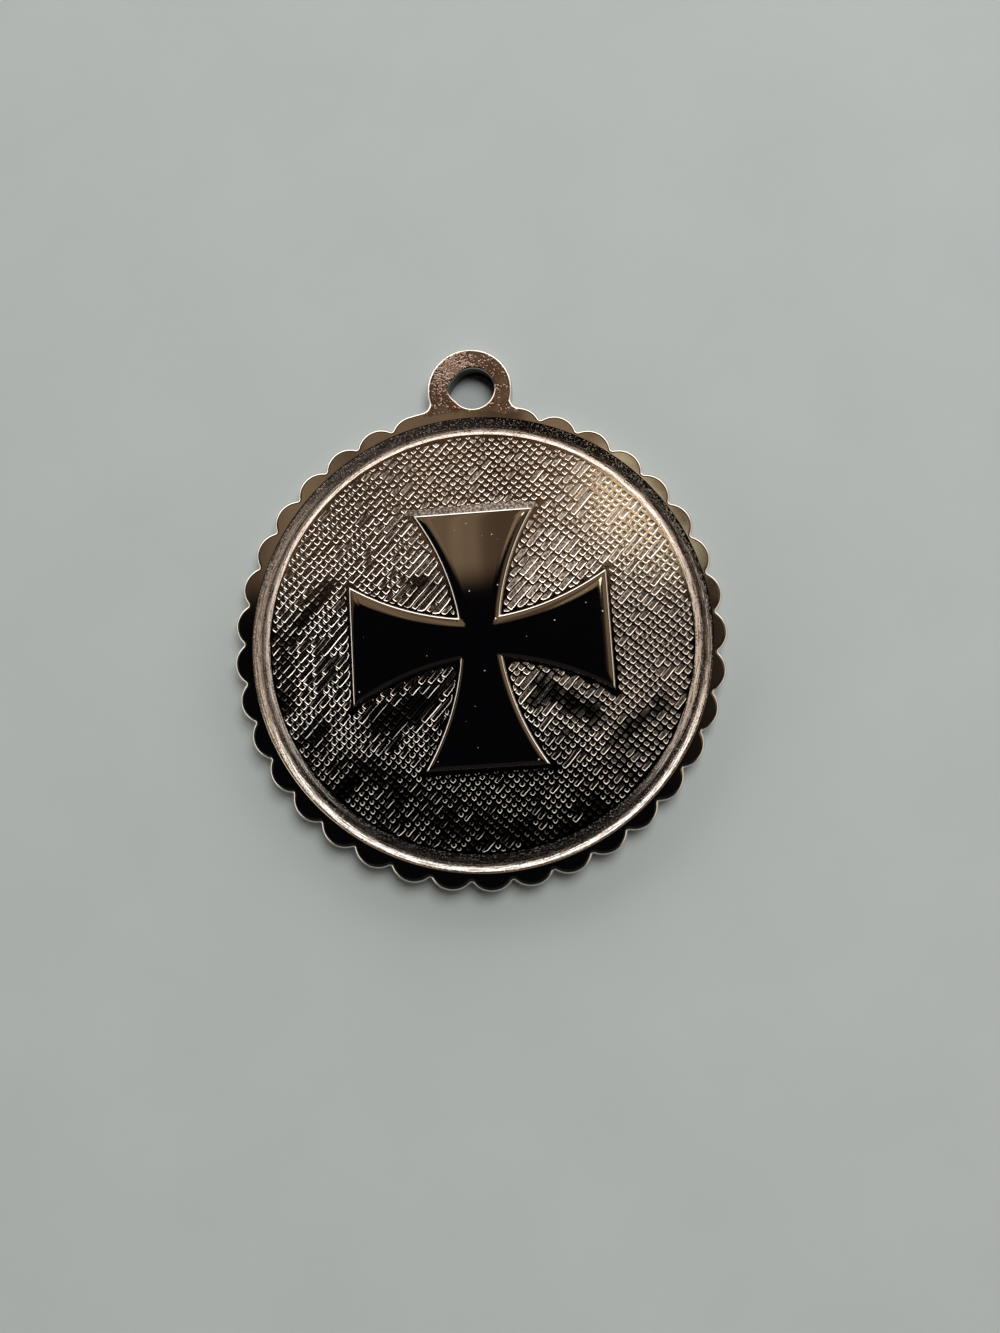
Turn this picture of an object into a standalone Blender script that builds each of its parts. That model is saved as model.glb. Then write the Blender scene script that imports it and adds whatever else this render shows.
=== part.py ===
"""Round cross pendant: one struck and plated metal piece, lying on its back.

The piece is a flat disc with a scalloped edge and a pierced lug above it. A smooth rim
runs round the front, a V-shaped groove parts the rim from the round field, and a
four-armed cross with flared, hollow-sided arms stands up from the middle of the field.

Frame: metres, +Z up. The back lies on z = 0, the disc is centred on the Z axis, and
the lug points to +Y.
"""
import math

import bmesh
import bpy

MM = 0.001

# Disc and its scalloped edge
DISC_DIAMETER = 38.0 * MM       # across the tips of the lobes
THICKNESS = 1.6 * MM            # back to the face of the rim
LOBE_HEIGHT = 0.7 * MM          # from the notch between two lobes out to a tip
LOBE_COUNT = 33                 # whole lobes, all but the two half lobes at the lug
EDGE_ROUND = 0.35 * MM          # rounding of the outer edge, front and back

# Lug and its hole
LUG_RADIUS = 3.42 * MM
LUG_RISE = 1.33 * MM            # centre of the lug beyond the circle of the lobe tips
LUG_SIDESTEP = 0.48 * MM        # the lug sits a little to the right of the axis
LUG_FILLET = 0.7 * MM           # hollow corner between lug and edge
LUG_LEDGE = 0.77 * MM           # plain stretch of edge between fillet and half lobe
HOLE_RADIUS = 1.72 * MM
HOLE_SIDESTEP = 0.27 * MM       # the hole is pierced a little right of the lug's centre
HOLE_CORNER = 0.28 * MM         # the pulled corner on the hole's left side
HOLE_CORNER_SPREAD = math.radians(35)
HOLE_EASE = 0.12 * MM           # chamfer at both mouths of the hole

# Rim, groove and field, struck a little off the centre of the trimmed edge
STRIKE_SHIFT = (0.17 * MM, 0.1 * MM)
RIM_WIDTH = 0.35 * MM           # flat face, from a notch in to where the rim rolls over
RIM_ROLL_RUN = 0.4 * MM         # soft shoulder between the rim's face and the groove
RIM_ROLL_DROP = 0.1 * MM
GROOVE_OUTER_SLOPE = 0.42 * MM
GROOVE_FLOOR = 0.18 * MM
GROOVE_INNER_SLOPE = 0.59 * MM
GROOVE_DEPTH = 0.45 * MM        # floor below the face of the rim
FIELD_DROP = 0.05 * MM          # field below the face of the rim

# Cross
CROSS_SPAN = 20.15 * MM         # end of one arm to the end of the opposite one
ARM_END = 9.7 * MM              # width of an arm at its end
ARM_ROOT = 3.4 * MM             # width of an arm where it meets its neighbours
ARM_HOLLOW = 0.5 * MM           # how far an arm's side bows in from a straight line
CROSS_WALL_RISE = 0.22 * MM     # steep wall at the foot of the cross
CROSS_WALL_RUN = 0.14 * MM
CROSS_CROWN_RISE = 0.12 * MM    # rounded shoulder above the wall
CROSS_CROWN_RUN = 0.75 * MM

# Facets
LOBE_FACETS = 8
LUG_FACETS = 28
FILLET_FACETS = 5
HOLE_FACETS = 36
ROUND_FACETS = 144
ARM_FACETS = 12
EDGE_FACETS = 2
CROWN_FACETS = 3
SHARP_ANGLE = math.radians(30)
CUT_MARGIN = 1.0 * MM           # how far a cutting shape stands clear of the metal

# What follows from the sizes above
ORIGIN = (0.0, 0.0)
TIP_RADIUS = DISC_DIAMETER / 2
NOTCH_RADIUS = TIP_RADIUS - LOBE_HEIGHT
RIM_INNER_RADIUS = NOTCH_RADIUS - RIM_WIDTH
ROLL_INNER_RADIUS = RIM_INNER_RADIUS - RIM_ROLL_RUN
FLOOR_OUTER_RADIUS = ROLL_INNER_RADIUS - GROOVE_OUTER_SLOPE
FLOOR_INNER_RADIUS = FLOOR_OUTER_RADIUS - GROOVE_FLOOR
FIELD_RADIUS = FLOOR_INNER_RADIUS - GROOVE_INNER_SLOPE
FLOOR_HEIGHT = THICKNESS - GROOVE_DEPTH
FIELD_HEIGHT = THICKNESS - FIELD_DROP
LUG_CENTRE = (LUG_SIDESTEP, TIP_RADIUS + LUG_RISE)
HOLE_CENTRE = (LUG_SIDESTEP + HOLE_SIDESTEP, TIP_RADIUS + LUG_RISE)


def on_circle(centre, radius, angle):
    return (centre[0] + radius * math.cos(angle), centre[1] + radius * math.sin(angle))


def angle_from(centre, point):
    return math.atan2(point[1] - centre[1], point[0] - centre[0])


def arc(centre, radius, start, end, facets):
    """Points of an arc from start up to but not including end."""
    turn = (end - start) / facets
    return [on_circle(centre, radius, start + turn * i) for i in range(facets)]


def bow_circle(a, b, bow):
    """Centre and radius of the arc from a to b whose middle lies off their line by the bow.

    The middle lies to the right of the line from a to b, and the centre to its left.
    """
    run_x, run_y = b[0] - a[0], b[1] - a[1]
    chord = math.hypot(run_x, run_y)
    radius = chord ** 2 / (8 * bow) + bow / 2
    share = (radius - bow) / chord
    return ((a[0] + b[0]) / 2 - run_y * share, (a[1] + b[1]) / 2 + run_x * share), radius


def lobe(first_notch, last_notch):
    """One convex lobe of the edge between two notches, given by their angles."""
    a = on_circle(ORIGIN, NOTCH_RADIUS, first_notch)
    b = on_circle(ORIGIN, NOTCH_RADIUS, last_notch)
    bow = TIP_RADIUS - NOTCH_RADIUS * math.cos((last_notch - first_notch) / 2)
    centre, radius = bow_circle(a, b, bow)
    start = angle_from(centre, a)
    sweep = 2 * math.asin(math.dist(a, b) / (2 * radius))
    return arc(centre, radius, start, start + sweep, LOBE_FACETS)


def fillet_centre(side):
    """Centre of the hollow corner right (1) or left (-1) of the lug.

    The corner's arc touches the lug and the circle of the lobe tips.
    """
    reach = math.hypot(*LUG_CENTRE)
    to_disc = TIP_RADIUS + LUG_FILLET
    to_lug = LUG_RADIUS + LUG_FILLET
    along = (reach ** 2 + to_disc ** 2 - to_lug ** 2) / (2 * reach)
    across = math.sqrt(to_disc ** 2 - along ** 2)
    return on_circle(ORIGIN, to_disc, angle_from(ORIGIN, LUG_CENTRE) - side * math.atan2(across, along))


def plate_outline():
    """The disc, its lobes and the lug, counter-clockwise from the notch left of the lug."""
    right, left = fillet_centre(1), fillet_centre(-1)
    right_foot, left_foot = angle_from(ORIGIN, right), angle_from(ORIGIN, left)
    right_side, left_side = angle_from(LUG_CENTRE, right), angle_from(LUG_CENTRE, left)
    full_turn = 2 * math.pi

    # The lug, its fillets and ledges and two half lobes take one gap out of the lobes.
    plain = left_foot - right_foot + 2 * LUG_LEDGE / TIP_RADIUS
    pitch = (full_turn - plain) / (LOBE_COUNT + 1)
    left_notch = math.pi / 2 + (plain + pitch) / 2
    right_notch = math.pi - left_notch

    points = []
    for i in range(LOBE_COUNT):
        points += lobe(left_notch + i * pitch, left_notch + (i + 1) * pitch)
    half = LOBE_FACETS // 2
    points += lobe(right_notch, right_notch + pitch)[:half + 1]
    points += arc(right, LUG_FILLET, right_foot - math.pi, right_side - math.pi, FILLET_FACETS)
    points += arc(LUG_CENTRE, LUG_RADIUS, right_side, left_side + full_turn, LUG_FACETS)
    points += arc(left, LUG_FILLET, left_side + math.pi, left_foot - math.pi, FILLET_FACETS)
    points += [on_circle(ORIGIN, TIP_RADIUS, left_foot)]
    points += lobe(left_notch - pitch, left_notch)[half:]
    return points


def hole_outline(extra):
    """The hole widened by extra, round but for one corner that is pulled out to the left."""
    points = []
    for i in range(HOLE_FACETS):
        angle = 2 * math.pi * i / HOLE_FACETS
        pull = max(0.0, 1 - abs(angle - math.pi) / HOLE_CORNER_SPREAD)
        points.append(on_circle(HOLE_CENTRE, HOLE_RADIUS + extra + HOLE_CORNER * pull, angle))
    return points


def cross_outline(inset):
    """The cross set in by inset, counter-clockwise from the left end of the upper arm.

    Each hollow side keeps its centre and gains the inset in radius, so that the outlines
    stay parallel. It runs from the arm's end to the diagonal, where it meets its mirror.
    """
    foot_corner = (-ARM_END / 2, CROSS_SPAN / 2)
    foot_root = (-ARM_ROOT / 2, ARM_ROOT / 2)
    centre, foot_radius = bow_circle(foot_root, foot_corner, ARM_HOLLOW)
    radius = foot_radius + inset
    height = CROSS_SPAN / 2 - inset
    corner = (centre[0] + math.sqrt(radius ** 2 - (height - centre[1]) ** 2), height)
    middle = (centre[1] - centre[0]) / 2
    off_diagonal = (centre[0] + centre[1]) ** 2 / 2
    root = middle - math.sqrt((radius ** 2 - off_diagonal) / 2)
    side = arc(centre, radius, angle_from(centre, corner), angle_from(centre, (-root, root)),
               ARM_FACETS)
    quarter = side + [(-root, root)] + [(-y, -x) for x, y in reversed(side)]
    points = []
    for _ in range(4):
        points += quarter
        quarter = [(-y, x) for x, y in quarter]
    return points


def ring(bm, points, height):
    return [bm.verts.new((x, y, height)) for x, y in points]


def stacked(bm, levels):
    """A closed shape through outlines at rising heights, each a pair (points, height).

    Returns its lowest and its highest face.
    """
    rings = [ring(bm, points, height) for points, height in levels]
    bottom = bm.faces.new(reversed(rings[0]))
    for lower, upper in zip(rings, rings[1:]):
        for i, vert in enumerate(lower):
            j = (i + 1) % len(lower)
            bm.faces.new((vert, lower[j], upper[j], upper[i]))
    top = bm.faces.new(rings[-1])
    # A bevel or an inset measures its width along the normals, which new faces lack.
    bm.normal_update()
    return bottom, top


def finish(bm, name):
    mesh = bpy.data.meshes.new(name)
    bm.to_mesh(mesh)
    bm.free()
    mesh.shade_smooth()
    mesh.set_sharp_from_angle(angle=SHARP_ANGLE)
    obj = bpy.data.objects.new(name, mesh)
    bpy.context.scene.collection.objects.link(obj)
    return obj


def guide(bm, name):
    """A shape that only cuts or adds to the pendant and isn't a piece by itself."""
    obj = finish(bm, name)
    obj.hide_render = True
    obj.display_type = "WIRE"
    return obj


def plate():
    """Disc and lug in one thickness, with the outer edge rounded front and back."""
    bm = bmesh.new()
    outline = plate_outline()
    back, front = stacked(bm, [(outline, 0), (outline, THICKNESS)])
    bmesh.ops.bevel(bm, geom=list(back.edges) + list(front.edges), affect="EDGES",
                    offset=EDGE_ROUND, segments=EDGE_FACETS, profile=0.5, material=-1)
    return finish(bm, "cross_pendant")


def groove_cutter():
    """The turned shape that sinks the field and the V-shaped groove round it."""
    slope = RIM_ROLL_RUN / RIM_ROLL_DROP
    steps = [(FLOOR_INNER_RADIUS, FLOOR_HEIGHT), (FLOOR_OUTER_RADIUS, FLOOR_HEIGHT),
             (ROLL_INNER_RADIUS, THICKNESS - RIM_ROLL_DROP),
             (RIM_INNER_RADIUS + CUT_MARGIN * slope, THICKNESS + CUT_MARGIN)]
    bm = bmesh.new()
    bmesh.ops.create_circle(bm, cap_ends=True, segments=ROUND_FACETS, radius=FIELD_RADIUS)
    bmesh.ops.translate(bm, verts=bm.verts[:], vec=(0, 0, FIELD_HEIGHT))
    edges = bm.edges[:]
    radius, height = FIELD_RADIUS, FIELD_HEIGHT
    for next_radius, next_height in steps:
        made = bmesh.ops.extrude_edge_only(bm, edges=edges)["geom"]
        verts = [v for v in made if isinstance(v, bmesh.types.BMVert)]
        edges = [e for e in made if isinstance(e, bmesh.types.BMEdge)]
        share = next_radius / radius
        bmesh.ops.scale(bm, verts=verts, vec=(share, share, 1))
        bmesh.ops.translate(bm, verts=verts, vec=(0, 0, next_height - height))
        radius, height = next_radius, next_height
    bmesh.ops.contextual_create(bm, geom=edges)
    bmesh.ops.recalc_face_normals(bm, faces=bm.faces[:])
    bmesh.ops.translate(bm, verts=bm.verts[:], vec=(*STRIKE_SHIFT, 0))
    return guide(bm, "groove_cutter")


def hole_cutter():
    """A straight cut through the lug that widens at both mouths."""
    bm = bmesh.new()
    straight = hole_outline(0)
    wide = hole_outline(HOLE_EASE + CUT_MARGIN)
    stacked(bm, [(wide, -CUT_MARGIN), (straight, HOLE_EASE), (straight, THICKNESS - HOLE_EASE),
                 (wide, THICKNESS + CUT_MARGIN)])
    return guide(bm, "hole_cutter")


def cross_relief():
    """The raised cross: a steep wall, then a rounded shoulder up to a flat crown."""
    steps = [(0, -FIELD_HEIGHT / 2), (0, 0)]
    for i in range(CROWN_FACETS + 1):
        turn = math.pi / 2 * i / CROWN_FACETS
        steps.append((CROSS_WALL_RUN + CROSS_CROWN_RUN * (1 - math.cos(turn)),
                      CROSS_WALL_RISE + CROSS_CROWN_RISE * math.sin(turn)))
    bm = bmesh.new()
    stacked(bm, [(cross_outline(inset), FIELD_HEIGHT + rise) for inset, rise in steps])
    bmesh.ops.translate(bm, verts=bm.verts[:], vec=(*STRIKE_SHIFT, 0))
    return guide(bm, "cross_relief")


def combine(obj, other, operation):
    modifier = obj.modifiers.new(other.name, "BOOLEAN")
    modifier.operation = operation
    modifier.solver = "EXACT"
    modifier.object = other


def plated_metal():
    material = bpy.data.materials.new("plated_metal")
    material.use_nodes = True
    shader = material.node_tree.nodes["Principled BSDF"]
    shader.inputs["Base Color"].default_value = (0.66, 0.62, 0.57, 1)
    shader.inputs["Metallic"].default_value = 1
    shader.inputs["Roughness"].default_value = 0.16
    return material


def main():
    for obj in list(bpy.data.objects):
        bpy.data.objects.remove(obj, do_unlink=True)
    pendant = plate()
    pendant.data.materials.append(plated_metal())
    combine(pendant, groove_cutter(), "DIFFERENCE")
    combine(pendant, hole_cutter(), "DIFFERENCE")
    combine(pendant, cross_relief(), "UNION")


main()
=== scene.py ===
# %% [markdown]
# # A round cross pendant, lying on its back
#
# The real piece is one blank of metal. A die presses the grooved border, the hatched
# field and the cross into it, a second tool trims its edge to a row of lobes, and a thin
# bright plating covers it all. So this lesson builds one closed mesh. It starts from the
# measured frame, which says where the piece is and how big it may be.

import math
import random

import bmesh
import bpy
from mathutils import Matrix, Vector, noise


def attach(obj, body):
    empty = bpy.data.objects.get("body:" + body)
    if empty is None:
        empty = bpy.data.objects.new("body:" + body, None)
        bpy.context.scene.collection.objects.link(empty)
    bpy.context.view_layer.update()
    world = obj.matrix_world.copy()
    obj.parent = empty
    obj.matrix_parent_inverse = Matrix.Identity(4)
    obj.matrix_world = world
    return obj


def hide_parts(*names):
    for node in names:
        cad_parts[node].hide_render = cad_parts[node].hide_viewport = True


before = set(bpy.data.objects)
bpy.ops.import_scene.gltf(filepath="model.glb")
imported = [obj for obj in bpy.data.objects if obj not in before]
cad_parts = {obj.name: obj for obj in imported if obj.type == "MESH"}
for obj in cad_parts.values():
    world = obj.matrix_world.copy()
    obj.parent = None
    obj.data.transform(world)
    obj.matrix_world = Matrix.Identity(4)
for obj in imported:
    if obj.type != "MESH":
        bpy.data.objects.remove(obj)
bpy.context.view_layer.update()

# %% [markdown]
# ## Units and sizes
#
# Blender's mesh tools weld and round at about a thousandth of a unit. The hatch here is
# half a millimetre wide, so the mesh is worked in millimetres and shrunk to metres once,
# near the end. These are the sizes that a maker would write on the drawing.

# %% Sizes in millimetres
MM = 0.001
THICKNESS = 1.6
TIP_RADIUS = 19.0
NOTCH_RADIUS = 18.24
NOTCH_SETBACK = 0.14
LOBE_COUNT = 33
EDGE_ROUND = 0.3
LUG_RADIUS = 3.42
LUG_CENTRE = (0.48, 20.33)
LUG_FILLET = 0.7
LUG_LEDGE = 0.77
HOLE_RADIUS = 1.72
HOLE_CENTRE = (0.75, 20.33)
HOLE_CORNER = 0.28
HOLE_CORNER_SPREAD = math.radians(35)
STRIKE_CENTRE = (0.17, 0.1)
RIM_INNER_RADIUS = 17.76
FIELD_RADIUS = 16.36
FIELD_HEIGHT = 1.55
CROSS_SPAN = 20.15
ARM_END = 9.7
ARM_ROOT = 3.4
ARM_HOLLOW = 0.5
print("disc across the lobes:", 2 * TIP_RADIUS, "mm, thickness:", THICKNESS, "mm")

# %% [markdown]
# ## The camera
#
# The piece was seen from about 75 mm, close to the nearest that a small wide camera can
# focus, and from a little below the middle of the disc. A camera that close shows
# perspective even on a flat disc, so its place matters more than its lens. Blender's
# camera starts to see at 100 mm, which would cut the whole piece away, so its near limit
# is brought in first. The camera's own axes are set from the direction it looks in and
# from its up direction.

# %% Camera
CAMERA_PLACE = Vector((4.72, -13.19, 74.14)) * MM
CAMERA_LOOK = Vector((-0.0433, 0.149, -0.9879)).normalized()
CAMERA_UP = Vector((0.069, 0.9869, 0.1459)).normalized()

camera_data = bpy.data.cameras.new("camera")
camera_data.lens = 26.0
camera_data.sensor_width = 36.0
camera_data.clip_start = 0.005
camera_data.clip_end = 10.0
camera = bpy.data.objects.new("camera", camera_data)
bpy.context.scene.collection.objects.link(camera)
camera_right = CAMERA_LOOK.cross(CAMERA_UP).normalized()
camera_axes = Matrix((camera_right, camera_right.cross(CAMERA_LOOK), -CAMERA_LOOK)).transposed()
camera.matrix_world = Matrix.Translation(CAMERA_PLACE) @ camera_axes.to_4x4()
bpy.context.scene.camera = camera
print("camera height above the floor:", round(CAMERA_PLACE.z / MM, 1), "mm")

# %% [markdown]
# ## Drawing an outline with spin
#
# Every curve of the edge is an arc of a circle: 33 lobes, the lug, and the two hollow
# corners beside it. Typing the points by hand would fix the number of facets for good.
# Spin sweeps a single vertex round a centre and leaves a chain of edges, so each arc is
# one call, the next arc starts where the last one ended, and the number of facets is one
# value.

# %% Arcs and straights
LOBE_STEPS = 12
LUG_STEPS = 72
FILLET_STEPS = 10


def on_circle(centre, radius, angle):
    return (centre[0] + radius * math.cos(angle), centre[1] + radius * math.sin(angle))


def angle_from(centre, point):
    return math.atan2(point[1] - centre[1], point[0] - centre[0])


def sweep_arc(bm, start, centre, sweep, steps):
    """Sweeps the vertex start round centre and gives the last vertex of the chain."""
    swept = bmesh.ops.spin(bm, geom=[start], cent=(*centre, 0), axis=(0, 0, 1), angle=sweep,
                           steps=steps, use_duplicate=False)
    return swept["geom_last"][0]


def straight_to(bm, start, point):
    """Draws a straight edge from the vertex start to a point at the same height."""
    end = bm.verts.new((*point, start.co.z))
    bm.edges.new((start, end))
    return end


print("steps in a lobe, the lug and a hollow corner:", LOBE_STEPS, LUG_STEPS, FILLET_STEPS)

# %% [markdown]
# ## Where the arcs have their centres
#
# A lobe, and later a side of the cross, is known by its two ends and by how far it bows
# out between them. A hollow corner beside the lug is known by the two circles it touches,
# the disc and the lug. The centres could be measured off a drawing, but then a changed
# size would leave kinks. Worked out from their neighbours, they always meet smoothly.

# %% Centres of the arcs
def bow_circle(a, b, bow):
    """Centre and radius of the arc whose middle lies right of the line a to b by bow."""
    run = (b[0] - a[0], b[1] - a[1])
    chord = math.hypot(*run)
    radius = chord ** 2 / (8 * bow) + bow / 2
    share = (radius - bow) / chord
    return ((a[0] + b[0]) / 2 - run[1] * share, (a[1] + b[1]) / 2 + run[0] * share), radius


def fillet_centre(side):
    """Centre of the hollow corner right (1) or left (-1) of the lug, touching both circles."""
    reach = math.hypot(*LUG_CENTRE)
    to_disc = TIP_RADIUS + LUG_FILLET
    to_lug = LUG_RADIUS + LUG_FILLET
    along = (reach ** 2 + to_disc ** 2 - to_lug ** 2) / (2 * reach)
    across = math.sqrt(to_disc ** 2 - along ** 2)
    turn = angle_from((0, 0), LUG_CENTRE) - side * math.atan2(across, along)
    return on_circle((0, 0), to_disc, turn)


print("hollow corners beside the lug:",
      [tuple(round(c, 2) for c in fillet_centre(side)) for side in (1, -1)])

# %% [markdown]
# ## The trimmed edge
#
# The trimming tool cuts the row of lobes and the lug in one stroke. The lobes could be
# added to a plain disc one by one, but each would leave a seam. Here the pen walks once
# round the piece instead: the full lobes, half a lobe, the ledge and hollow corner right
# of the lug, the lug itself, and the same again on its left. The half lobes let the row
# run out into the plain ledge without a step.

# %% Edge outline
WELD = 0.001


def draw_edge(bm):
    """Draws the edge of the disc and the lug as one closed chain of edges."""
    right, left = fillet_centre(1), fillet_centre(-1)
    right_foot, left_foot = angle_from((0, 0), right), angle_from((0, 0), left)
    right_side, left_side = angle_from(LUG_CENTRE, right), angle_from(LUG_CENTRE, left)
    plain = left_foot - right_foot + 2 * LUG_LEDGE / TIP_RADIUS
    pitch = (2 * math.pi - plain) / (LOBE_COUNT + 1)
    left_notch = math.pi / 2 + (plain + pitch) / 2
    bow = TIP_RADIUS - NOTCH_RADIUS * math.cos(pitch / 2)

    def lobe(start, first_notch, share_from=0.0, share_to=1.0):
        a = on_circle((0, 0), NOTCH_RADIUS, first_notch)
        b = on_circle((0, 0), NOTCH_RADIUS, first_notch + pitch)
        centre, radius = bow_circle(a, b, bow)
        sweep = 2 * math.asin(math.dist(a, b) / (2 * radius))
        steps = round(LOBE_STEPS * (share_to - share_from))
        return sweep_arc(bm, start, centre, sweep * (share_to - share_from), steps)

    pen = bm.verts.new((*on_circle((0, 0), NOTCH_RADIUS, left_notch), 0))
    for i in range(LOBE_COUNT):
        pen = lobe(pen, left_notch + i * pitch)
    pen = lobe(pen, left_notch + LOBE_COUNT * pitch, share_to=0.5)
    pen = straight_to(bm, pen, on_circle((0, 0), TIP_RADIUS, right_foot))
    pen = sweep_arc(bm, pen, right, right_side - right_foot, FILLET_STEPS)
    pen = sweep_arc(bm, pen, LUG_CENTRE, left_side + 2 * math.pi - right_side, LUG_STEPS)
    pen = sweep_arc(bm, pen, left, left_foot - left_side - 2 * math.pi, FILLET_STEPS)
    pen = straight_to(bm, pen, on_circle((0, 0), TIP_RADIUS, left_notch - pitch / 2))
    lobe(pen, left_notch - pitch, share_from=0.5)
    bmesh.ops.remove_doubles(bm, verts=bm.verts[:], dist=WELD)


medal = bmesh.new()
draw_edge(medal)
print("edge drawn with", len(medal.verts), "vertices and", len(medal.edges), "edges")

# %% [markdown]
# ## From outline to plate
#
# The blank is a sheet of metal whose edge is rounded in the polishing drum. A Bevel
# modifier could round it, but the hole and the groove have to meet the flat faces later,
# so it is done in the mesh. The outline is filled and pulled up to the thickness. The
# upright edges in the notches are rounded first, and then the upper and lower edges all
# round. In that order the second bevel runs through every notch without a kink. A profile
# of 0.5 is a quarter circle, and four segments keep its highlight smooth. The two flat
# faces are then taken away, because each is filled again around the hole.

# %% Plate
EDGE_SEGMENTS = 4
NOTCH_SLACK = 0.005
FLAT_FACE_CORNERS = 100


def raise_plate(bm):
    blank = bmesh.ops.contextual_create(bm, geom=bm.edges[:])["faces"][0]
    if blank.normal.z < 0:
        blank.normal_flip()
    top = bmesh.ops.extrude_face_region(bm, geom=[blank], use_keep_orig=True)["geom"]
    bmesh.ops.translate(bm, verts=[g for g in top if isinstance(g, bmesh.types.BMVert)],
                        vec=(0, 0, THICKNESS))
    bmesh.ops.recalc_face_normals(bm, faces=bm.faces[:])
    uprights = [e for e in bm.edges if abs(e.verts[0].co.z - e.verts[1].co.z) > THICKNESS / 2]
    notches = [e for e in uprights if e.verts[0].co.xy.length < NOTCH_RADIUS + NOTCH_SLACK]
    bmesh.ops.bevel(bm, geom=notches, offset=NOTCH_SETBACK, affect="EDGES",
                    segments=EDGE_SEGMENTS, profile=0.5, material=-1)
    flats = [f for f in bm.faces if abs(f.normal.z) > 0.9]
    rounds = list({e for f in flats for e in f.edges})
    bmesh.ops.bevel(bm, geom=rounds, offset=EDGE_ROUND, affect="EDGES", segments=EDGE_SEGMENTS,
                    profile=0.5, material=-1)
    flats = [f for f in bm.faces if len(f.verts) > FLAT_FACE_CORNERS]
    bmesh.ops.delete(bm, geom=flats, context="FACES_ONLY")
    return len(notches)


print("notches rounded:", raise_plate(medal), " faces:", len(medal.faces))

# %% [markdown]
# ## The hole in the lug
#
# A punch makes the hole, and on this piece it dragged one corner out to the left. A
# Boolean would cut it, but leaves long thin triangles that catch the light. So a circle
# is drawn, its left side is pulled outward, and the ring is extruded down through the
# lug. The first and last steps are short, so that both mouths are eased.

# %% Hole
HOLE_STEPS = 72
HOLE_EASE = 0.12
HOLE_MOUTH = [(0.04, 0.035), (0, 0.12)]  # wider than the hole by, below the face by


def extrude_ring(bm, ring, centre, share, height):
    """Extrudes a ring of edges, scales the new ring about centre and puts it at height."""
    made = bmesh.ops.extrude_edge_only(bm, edges=ring)["geom"]
    verts = [g for g in made if isinstance(g, bmesh.types.BMVert)]
    bmesh.ops.scale(bm, verts=verts, vec=(share, share, 1),
                    space=Matrix.Translation((-centre[0], -centre[1], 0)))
    for vert in verts:
        vert.co.z = height
    return [g for g in made if isinstance(g, bmesh.types.BMEdge)]


def punch_hole(bm):
    radius = HOLE_RADIUS + HOLE_EASE
    mouth = bmesh.ops.create_circle(bm, segments=HOLE_STEPS, radius=radius)["verts"]
    for vert in mouth:
        off_left = abs(abs(math.atan2(vert.co.y, vert.co.x)) - math.pi)
        pull = max(0.0, 1 - off_left / HOLE_CORNER_SPREAD)
        vert.co.xy *= 1 + HOLE_CORNER * pull / HOLE_RADIUS
    bmesh.ops.translate(bm, verts=mouth, vec=(*HOLE_CENTRE, THICKNESS))
    ring = list({e for v in mouth for e in v.link_edges})
    steps = [(HOLE_RADIUS + wide, THICKNESS - drop) for wide, drop in HOLE_MOUTH]
    steps += [(HOLE_RADIUS + wide, drop) for wide, drop in reversed(HOLE_MOUTH)]
    steps += [(HOLE_RADIUS + HOLE_EASE, 0)]
    for next_radius, height in steps:
        ring = extrude_ring(bm, ring, HOLE_CENTRE, next_radius / radius, height)
        radius = next_radius


punch_hole(medal)
print("vertices with the hole:", len(medal.verts))

# %% [markdown]
# ## The groove, turned like a bowl
#
# Between the flat rim and the field the metal rolls over, drops to a narrow floor and
# rises again. That is the same all the way round, so its section is drawn once as a chain
# of short edges and spun through a full turn, which is quicker than bevelling rings. The
# rows below read from the rim inwards. use_merge closes the turn, and without it a seam
# of doubled vertices would stay open.

# %% Groove
GROOVE_STEPS = 240
GROOVE_SECTION = [  # radius, height
    (RIM_INNER_RADIUS + 0.03, THICKNESS),
    (RIM_INNER_RADIUS, THICKNESS),
    (17.69, 1.588),
    (17.62, 1.556),
    (17.56, 1.508),
    (17.53, 1.484),
    (17.50, 1.461),
    (17.165, 1.196),
    (17.14, 1.169),
    (17.11, 1.149),
    (17.07, 1.143),
    (17.03, 1.149),
    (16.99, 1.172),
    (16.86, 1.286),
    (16.83, 1.307),
    (16.45, 1.511),
    (16.42, 1.526),
    (FIELD_RADIUS, FIELD_HEIGHT),
]


def turn_groove(bm):
    chain = [bm.verts.new((radius, 0, height)) for radius, height in GROOVE_SECTION]
    edges = [bm.edges.new(pair) for pair in zip(chain, chain[1:])]
    bmesh.ops.translate(bm, verts=chain, vec=(*STRIKE_CENTRE, 0))
    bmesh.ops.spin(bm, geom=chain + edges, cent=(*STRIKE_CENTRE, 0), axis=(0, 0, 1),
                   angle=2 * math.pi, steps=GROOVE_STEPS, use_merge=True, use_duplicate=False)


turn_groove(medal)
print("faces with the groove:", len(medal.faces))

# %% [markdown]
# ## Filling between rings
#
# The plate now has open rings: its rounded edge, the hole's mouth and the groove on top,
# and the edge and the hole underneath. triangle_fill closes the space between rings that
# lie at one height, whatever their shapes, and it leaves the holes inside them open. So
# the free edges at one height are all it has to be given.

# %% Rim and back
def open_edges(bm, height, low=0.0, high=math.inf):
    """Edges with a free side at one height, whose distance from the middle is in a range."""
    found = []
    for edge in bm.edges:
        if len(edge.link_faces) > 1:
            continue
        if all(abs(v.co.z - height) < WELD and low < v.co.xy.length < high for v in edge.verts):
            found.append(edge)
    return found


def fill_ring(bm, edges):
    """Fills the flat space between rings of edges and gives the new faces."""
    made = bmesh.ops.triangle_fill(bm, edges=edges, use_beauty=True, use_dissolve=False,
                                   normal=(0, 0, 1))["geom"]
    return [g for g in made if isinstance(g, bmesh.types.BMFace)]


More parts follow.
